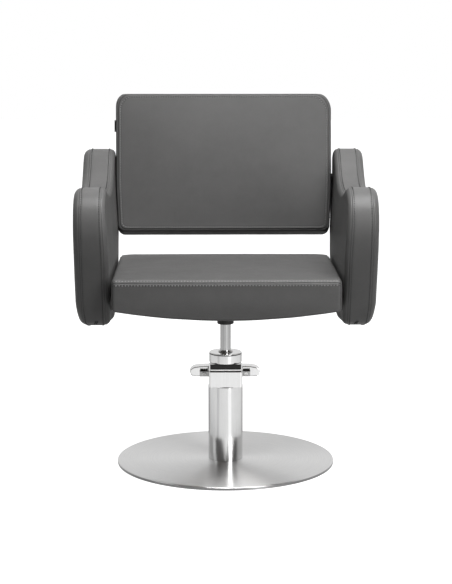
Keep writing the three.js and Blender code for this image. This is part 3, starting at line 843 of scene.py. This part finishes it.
def make_seat():
    corners = [
        (205, 399, 9), (205, 454.5, 20), (-258.5, 471.5, 12), (-260, 381, 5), (-236, 381, 4), (-233, 397, 3),
    ]
    loop = evenly(filleted(corners, steps=14), 1400)
    ends = [(-SEAT_HALF, 22, 0), (-SEAT_HALF, 0, 9), (SEAT_HALF, 0, 9), (SEAT_HALF, 22, 0)]
    section = filleted(ends, closed=False, steps=16)
    s = lengths(loop, True)[1][:-1]
    front = np.where((loop[:, 0] < -240) & (loop[:, 1] > 440), np.abs(loop[:, 1] - 465.0), 999)
    seam = float(s[np.argmin(front)])
    end = 22 - 9 + 9 * math.pi / 4
    total = lengths(section, False)[1][-1]

    def place(flat):
        x, y, z = flat[:, 2], flat[:, 0], flat[:, 1].copy()
        rise = SEAT_BOW * (x / 240) ** 2
        low = np.clip((436 - z) / (436 - 381), 0, 1) * (y < -225)
        aside = np.clip((np.abs(x) - 212) / 36.5, 0, 1)
        corner = np.where(x > 0, SEAT_CORNERS[1], SEAT_CORNERS[0]) * (1 - np.sqrt(1 - aside**2 + 1e-9))
        corner *= eased(y, 130, 205)
        crown = SEAT_CROWN * eased(y, 60, 190) * eased(z, 420, 450) * (1 - aside**2)
        return np.column_stack([x, y - corner, z + rise * low + crown])

    pad = Pad(
        loop, section, place, [(seam, [-5.6, 5.4])], [(end, []), (total - end, [])], section_step=7.0,
        family=scaled_family,
    )
    co = pad.co()
    still = np.vstack([pad.seam_points(), co[(co[:, 2] < 400) & (co[:, 1] > -230)]])
    push = puffed(pad, still, SEAT_PUFF)
    push[:, 0] *= 0.35
    front = co[:, 1] < -250
    push[front, 1] *= 0.55
    pad.move(push)
    seat = pad.finish("seat_pad", LEATHER, 0.22, 5.5)
    belongs(seat, "seat", "upholstery", "seat_cushion")
    rows = []
    stations = at_lengths(section, False, sampled(section, False, [(end, []), (total - end, [])], 7.0)[0])
    wide = np.where((stations[:, 1] < 0.3))[0]
    for index in pad.loop_rows:
        rows.append(pad.cross_line(index, int(wide[0]), int(wide[-1])))
    belongs(stitches("seat_stitching", rows, pitch=6.6, length=3.7, radius=1.1), "seat", "upholstery")


# ---------- back ----------
BACK_AT = np.array([203.0, 506.0])
BACK_ASIDE = -1.9  # the back sits slightly to one side
BACK_LEAN = math.radians(10)
BACK_HALF, BACK_HEIGHT = 257.2, 331.5
BOXING_PAINTED_SHADE = 0.8  # how much painted shade darkens the band round the sides of the back, from 0 to 1
PANEL_BULGE = 2.6
LABEL_OUT = 0.8


def lean(flat_x, depth, height):
    c, s = math.cos(BACK_LEAN), math.sin(BACK_LEAN)
    return np.column_stack(
        [flat_x + BACK_ASIDE, BACK_AT[0] + depth * c + height * s, BACK_AT[1] - depth * s + height * c]
    )


def make_back():
    h, top = BACK_HALF, BACK_HEIGHT
    loop = evenly(filleted([(h, 0, 15), (h, top, 38), (-h, top, 29), (-h, 0, 15)], steps=14), 1200)
    section = filleted(
        [(1.5, 26, 0), (1.5, 0, 10), (80, 0, 6), (80, 13, 1.5), (53, 13, 1.5), (53, 20, 0)],
        closed=False, steps=12,
    )
    front = 26 - 10 + 10 * math.radians(25)
    rear = 16 + 10 * math.pi / 2 + (80 - 1.5 - 10 - 6) + 6 * math.pi / 4

    def place(flat):
        """Narrower at the bottom, with a lower-lying roll there and the front seam close to the top edge."""
        x, z, depth = flat[:, 0], flat[:, 1], flat[:, 2]
        x = x * (1 - 4.2 / BACK_HALF * eased(z, 130, 0))
        roll = eased(z, 34, 0) * (3.4 * eased(depth, 40, 3) - 2.8 * eased(depth, 3, 40))
        crown = 4.2 * eased(z, top - 34, top - 8) * eased(depth, 24, 2)
        return lean(x, depth, np.minimum(z + roll + crown, top))

    pad = Pad(
        loop, section, place, section_seams=[(front, [-5.6]), (rear, [])], family=scaled_family, fill_step=7.5
    )
    co = pad.co()
    # painted shade on the boxing band round the back
    boxing = eased(pad.flat[:, 2], 4, 9) * eased(pad.flat[:, 2], 60, 52)
    pad.mark = np.maximum(pad.mark, BOXING_PAINTED_SHADE * boxing)
    still = np.vstack([pad.seam_points(), co[pad.flat[:, 2] > 50]])
    push = puffed(pad, still, BACK_PUFF)
    push[:, 0] *= 0.35
    pad.move(push)
    back = pad.finish("back_pad", LEATHER, 0.2, 8.2)
    belongs(back, "seat", "upholstery", "back_cushion")
    lines = [pad.ring_line(r) for r in pad.section_rows]
    sewn = stitches("back_stitching", lines, BACK_THREAD, pitch=5.8, length=3.2, radius=1.1)
    belongs(sewn, "seat", "upholstery")


def make_rear_panel():
    h = 241.6
    loop = evenly(filleted([(h, 14.8, 8), (h, 314.2, 8), (-h, 314.2, 8), (-h, 14.8, 8)], steps=8), 1000)
    section = filleted([(74.5, 16, 0), (74.5, 0, 1), (82.5, 0, 4), (82.5, 22, 0)], closed=False, steps=8)
    total = lengths(section, False)[1][-1]
    row = total - 22 + 9

    def place(flat):
        return lean(flat[:, 0], flat[:, 2], flat[:, 1])

    pad = Pad(loop, section, place, section_seams=[(row, [])], family=scaled_family, fill_step=9.0)
    pad.off *= 0.25
    # the rear panel's seam gets a weaker painted shade
    pad.mark *= 0.4
    swell = pad.flat[:, 2] > 80
    x = np.clip(1 - (pad.flat[:, 0] / h) ** 2, 0, 1)
    z = np.clip(1 - ((pad.flat[:, 1] - 164.5) / 150) ** 2, 0, 1)
    out = np.where(swell, PANEL_BULGE * np.sqrt(x * z + 1e-9), 0)
    c, s = math.cos(BACK_LEAN), math.sin(BACK_LEAN)
    pad.move(out[:, None] * np.array([0, c, -s]))
    panel = pad.finish("rear_panel", REAR_LEATHER, 0.25, 2.2)
    belongs(panel, "seat", "upholstery", "back_rear_panel")
    place_rows = sampled(section, False, [(row, [])])[0]
    index = int(np.argmin(np.abs(place_rows - row)))
    belongs(stitches("rear_panel_stitching", [pad.ring_line(index)]), "seat", "upholstery")


# ---------- turned and blocky metal ----------
def lathe(name, corners, look, segments=128, centre=(0.0, 0.0), steps=4):
    """A turned piece: a closed profile of (radius, height, fillet) spun about a vertical line."""
    profile = filleted(corners, steps=steps)
    profile = profile[np.concatenate([[True], np.linalg.norm(np.diff(profile, axis=0), axis=1) > 1e-4])]
    n = len(profile)
    angles = np.linspace(0, 2 * math.pi, segments, endpoint=False)
    co = []
    on_axis = profile[:, 0] < 1e-6
    ids = np.zeros((segments, n), int)
    for i, (r, z) in enumerate(profile):
        if on_axis[i]:
            ids[:, i] = len(co)
            co.append((centre[0], centre[1], z))
            continue
        for k, a in enumerate(angles):
            ids[k, i] = len(co)
            co.append((centre[0] + r * math.cos(a), centre[1] + r * math.sin(a), z))
    faces = []
    for k in range(segments):
        m = (k + 1) % segments
        for i in range(n):
            j = (i + 1) % n
            if on_axis[i] and on_axis[j]:
                continue
            quad = [ids[k, i], ids[m, i], ids[m, j], ids[k, j]]
            face = list(dict.fromkeys(quad))
            if len(face) > 2:
                faces.append(face)
    made = mesh_object(name, co, faces, look)
    made.modifiers.new("normals", "WEIGHTED_NORMAL").keep_sharp = True
    return made


def refined(name, node, look, bevel=0.5, segments=3, limit=40.0):
    """A copy of a CAD node with its edges rounded."""
    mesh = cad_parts[node].data.copy()
    mesh.materials.clear()
    if "custom_normal" in mesh.attributes:
        mesh.attributes.remove(mesh.attributes["custom_normal"])
    bm = bmesh.new()
    bm.from_mesh(mesh)
    bmesh.ops.remove_doubles(bm, verts=bm.verts[:], dist=2e-6)
    bmesh.ops.dissolve_limit(
        bm, angle_limit=math.radians(0.6), verts=bm.verts[:], edges=bm.edges[:], use_dissolve_boundaries=False
    )
    for f in bm.faces:
        f.smooth = True
    bm.to_mesh(mesh)
    bm.free()
    mesh.materials.append(look)
    mesh.name = name
    made = bpy.data.objects.new(name, mesh)
    scene.collection.objects.link(made)
    rounding = made.modifiers.new("edges", "BEVEL")
    rounding.width = bevel * MM
    rounding.segments = segments
    rounding.limit_method = "ANGLE"
    rounding.angle_limit = math.radians(limit)
    rounding.use_clamp_overlap = True
    made.modifiers.new("normals", "WEIGHTED_NORMAL").weight = 100
    return made


def paint(piece, look, chosen):
    """Gives the faces for which chosen(centre, normal) holds a second material, here painted shade or a
    painted highlight; sizes in millimetres.
    """
    piece.data.materials.append(look)
    for face in piece.data.polygons:
        if chosen(face.center / MM, face.normal):
            face.material_index = 1
    return piece


def make_base():
    cover = lathe(
        "disc_cover",
        [(37.2, 7.0, 0), (246.8, 7.0, 0.8), (248.9, 5.0, 0.5), (248.9, 1.2, 0), (250.0, 1.2, 0.3),
         (250.0, 7.0, 1.4), (247.2, 8.0, 1.5), (37.2, 8.0, 0.3)],
        DISC, 256,
    )
    belongs(cover, "base", "disc_steel", "base_cover")
    tube = lathe(
        "column_tube",
        [(37.8, 8.3, 0.3), (39.5, 8.3, 0.4), (39.5, 182.6, 0.5), (37.8, 182.6, 0.5)], TUBE, 160,
    )
    belongs(tube, "base", "chrome", "column_cover")
    block = refined("head_block", "pump_head", CHROME, 0.9, 4)

    # painted shade: black on the side faces of the recess under the plate and of the foot above the tube
    def painted_shade_faces(at, out):
        return (at.z > 220.2 or at.z < 183.2) and abs(out.z) < 0.5 and at.y < 34

    paint(block, BLACK_PAINT, painted_shade_faces)
    belongs(block, "base", "chrome", "pump_head")
    belongs(refined("head_plate", "cap_plate", CHROME), "base", "chrome", "cap_plate")
    # painted highlight: the top face of the black plastic band is given chrome
    band = paint(refined("band", "head_band", BLACK_PLASTIC, 0.7), CHROME, lambda at, out: out.z > 0.9)
    belongs(band, "base", "black_plastic", "head_band")
    cap = lathe(
        "round_cap",
        [(16, 237.3, 0), (37.4, 237.3, 0.4), (37.4, 256.2, 0), (36.7, 256.5, 0), (36.7, 258.1, 0),
         (37.4, 258.4, 0), (37.4, 260, 1.0), (16, 260, 0.5)],
        CAP, 160, steps=6,
    )
    # painted shade: the groove round the cap is painted black
    paint(cap, BLACK_PAINT, lambda at, out: 36.5 < math.hypot(at.x, at.y) < 37.2 and 256.1 < at.z < 258.5)
    belongs(cap, "base", "chrome", "head_cap")
    gland = lathe(
        "rod_gland",
        [(12.25, 237.6, 0), (15.7, 237.6, 0), (15.7, 260.3, 0), (16.6, 260.3, 0.4), (16.4, 261.6, 0.5),
         (13.2, 262.4, 0.4), (12.25, 262.4, 0.2)],
        STEEL, 96,
    )
    belongs(gland, "base", "black_plastic", "ram_gland")
    barrel = lathe(
        "barrel",
        [(0, 148, 0), (10, 148, 1.5), (11, 150.5, 0.6), (11, 175.7, 0.5), (4.75, 175.7, 0.3), (4.75, 150, 0),
         (0, 150, 0)],
        STEEL, 64, (0.0, 68.0),
    )
    belongs(barrel, "base", "steel", "pump_barrel")
    belongs(refined("pivot_pin", "pedal_pin", STEEL, 0.4), "base", "steel", "pedal_pin")


def make_pedal():
    lever = refined("lever", "pedal_lever", CHROME, 0.8)
    # painted shade: the lever's front face gets darker steel instead of chrome
    paint(lever, STEEL, lambda at, out: out.y < -0.9 and 114 < at.y < 116)
    belongs(lever, "pedal", "chrome", "pedal_lever")
    tread = refined("tread", "foot_tread", CHROME, 1.0, limit=33.0)
    # painted shade: the front face of the tread's rib is painted black
    paint(tread, BLACK_PAINT, lambda at, out: out.y < -0.9 and 120.3 < at.y < 120.6)
    belongs(tread, "pedal", "chrome", "foot_tread")
    for i in (1, 2):
        bolt = refined(f"tread_screw_{i}", f"tread_bolt_{i}", BRIGHT_ZINC, 0.35, limit=44.0)
        belongs(bolt, "pedal", "chrome", f"tread_bolt_{i}")


def make_ram():
    rod = lathe(
        "rod",
        [(0, 70, 0), (8, 70, 1), (8, 100.3, 0), (12.1, 100.3, 0.3), (12.1, 370, 2), (0, 370, 0)],
        ROD, 96,
    )
    belongs(rod, "ram", "chrome", "ram_rod")
    collar = lathe(
        "collar",
        [(12.4, 326, 0.4), (19, 326, 1.2), (19, 353, 3), (26, 364, 4), (38, 371.7, 0.5), (12.4, 371.7, 0)],
        BLACK_PAINT, 96,
    )
    belongs(collar, "seat", "black_paint", "swivel_collar")


def make_under_seat():
    painted = {"plate": "seat_mount_plate", "bar_front": "cross_bar_front", "bar_rear": "cross_bar_rear"}
    for name, node in painted.items():
        belongs(refined(name, node, BLACK_PAINT, 0.6), "seat", "black_paint", node)
    belongs(refined("board", "seat_board", PLY, 0.8, 2), "seat", "plywood", "seat_board")


def make_tag():
    """A small woven label, blank, folded into the side of the back and standing a little out of it."""
    label = refined("side_label", "side_tag", TAG, 0.3, 2)
    label.data.transform(Matrix.Translation(((BACK_ASIDE - LABEL_OUT) * MM, 0, 0)))
    belongs(label, "seat", "black_plastic", "side_tag")


LOOKS = {
    "floor_pad": RUBBER, "base_plate": BLACK_PAINT, "pump_reservoir": STEEL, "inner_cylinder": STEEL,
    "pump_plunger": STEEL, "return_spring": STEEL, "ram_piston": BRONZE, "piston_seal": RUBBER,
    "back_board": PLY, "arm_core_L": PLY, "arm_core_R": PLY, "back_bracket_L": BLACK_PAINT,
    "back_bracket_R": BLACK_PAINT, "back_spacer_L": BLACK_PLASTIC, "back_spacer_R": BLACK_PLASTIC,
}
FALLBACK = (("screw", STEEL), ("bolt", STEEL), ("spacer", BLACK_PLASTIC))


def dress_frame():
    """Gives every CAD node that still shows its own finish."""
    for name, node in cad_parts.items():
        if node.hide_render:
            continue
        look = LOOKS.get(name) or next((m for word, m in FALLBACK if word in name), STEEL)
        node.data.materials.clear()
        node.data.materials.append(look)


# ---------- room and light ----------
BRIGHT, NORMAL, DARK, DIM = 1.22, 0.90, 0.68, 0.36
# brightness by direction on plan, in degrees from the front
AROUND = [(-165, DIM), (-115, NORMAL), (-62, NORMAL), (-54, DARK), (-48, DARK), (-38, NORMAL), (14, NORMAL),
          (18, BRIGHT), (35, BRIGHT), (39, NORMAL), (115, NORMAL), (165, DIM)]


def surroundings(n, x, y, less):
    """How bright the studio looks in polished metal, by the direction on plan: a window and dark flags."""
    turn = n.math("DEGREES", n.math("ARCTAN2", x, n.math("MULTIPLY", y, -1.0)))
    out = None
    for (a, low), (b, high) in zip(AROUND, AROUND[1:]):
        if low == high:
            continue
        step = n.span(turn, a, b, 0.0, high - low)
        out = step if out is None else n.math("ADD", out, step)
    return n.math("ADD", out, AROUND[0][1] - less)


def make_floor():
    made, n = material("pale_floor")
    at = n.where()
    tone = n.mix(n.noise(at, 3, 3), grey(0.21), grey(0.24))
    parts = n.add("ShaderNodeSeparateXYZ", {0: at}).outputs
    path = n.add("ShaderNodeLightPath").outputs
    mirrored = n.math("MULTIPLY", path["Is Glossy Ray"], surroundings(n, parts[0], parts[1], 0.32))
    glow = n.math("ADD", n.math("MULTIPLY", path["Is Camera Ray"], 1.1), mirrored)
    n.surface(
        {
            "Base Color": tone,
            "Roughness": 0.8,
            "Specular IOR Level": 0.1,
            "Emission Color": grey(1.0),
            "Emission Strength": glow,
        }
    )
    far = 9000
    corners = [(-far, -far, 0), (far, -far, 0), (far, far, 0), (-far, far, 0)]
    floor = mesh_object("floor", corners, [[0, 1, 2, 3]], made)
    floor.location.z = -0.0002


# way, half-width in degrees, glow
LAMPS = [((-0.72, -0.08, 0.69), 14, 4.0), ((0.53, -0.53, 0.66), 12, 3.0)]


def make_world():
    world = bpy.data.worlds.new("studio")
    world.use_nodes = True
    scene.world = world
    n = Nodes(world.node_tree)
    way = n.add("ShaderNodeTexCoord").outputs["Generated"]
    parts = n.add("ShaderNodeSeparateXYZ", {0: way})
    x, y, z = parts.outputs
    up = n.span(z, -0.1, 1.0, 0.0, 1.0)
    room = n.mix(n.span(x, -0.6, 0.6, 0.0, 1.0), grey(0.73), grey(0.96))
    turn = n.math("DEGREES", n.math("ARCTAN2", x, n.math("MULTIPLY", y, -1.0)))
    behind = n.span(y, -0.25, 0.15, 0.0, 1.0)
    ceiling = n.span(z, 0.80, 0.92, 0.0, 0.55)
    window = n.math("MULTIPLY", n.span(turn, 15, 19, 0.0, 1.0), n.span(turn, 34, 38, 1.0, 0.0))
    window = n.math("MULTIPLY", window, n.span(z, 0.55, 0.70, 1.25, 0.0))
    seen = n.math("MAXIMUM", n.math("MAXIMUM", behind, ceiling), window)
    dark_side = grey(0.16)
    room = n.mix(seen, dark_side, room)
    for aim, wide, glow in LAMPS:
        toward = n.add("ShaderNodeVectorMath", {0: way, 1: aim}, operation="DOT_PRODUCT").outputs["Value"]
        room = n.mix(n.span(toward, math.cos(math.radians(wide)), 1.0, 0.0, 1.0), room, grey(glow))
    soft = n.mix(up, grey(0.14), grey(0.28))
    path = n.add("ShaderNodeLightPath").outputs
    room = n.mix(path["Is Diffuse Ray"], room, soft)
    colour = n.mix(path["Is Camera Ray"], room, grey(1.0))
    shade = n.add("ShaderNodeBackground", {"Color": colour, "Strength": 1.0})
    n.add("ShaderNodeOutputWorld", {"Surface": shade.outputs[0]})


def softbox(name, at, towards, size, power):
    data = bpy.data.lights.new(name, "AREA")
    data.shape = "RECTANGLE"
    data.size, data.size_y = size
    data.energy = power
    lamp = bpy.data.objects.new(name, data)
    lamp.location = at
    aim = Vector(towards) - Vector(at)
    lamp.rotation_euler = aim.to_track_quat("-Z", "Y").to_euler()
    scene.collection.objects.link(lamp)


def make_lights():
    softbox("overhead", (0.30, -0.66, 2.42), (0, 0, 0.5), (1.5, 1.3), 100)
    softbox("rear", (-0.1, 1.15, 2.35), (0, 0, 0.5), (1.6, 0.8), 5)
    softbox("strip_right", (1.25, -1.9, 1.15), (0, 0, 0.35), (0.8, 1.6), 27)


make_world()
make_lights()
make_floor()
make_base()
make_pedal()
make_ram()
make_under_seat()
make_tag()
make_seat()
make_arm("L")
make_arm("R")
make_back()
make_rear_panel()
dress_frame()

scene.view_settings.view_transform = "Standard"
scene.view_settings.look = "None"
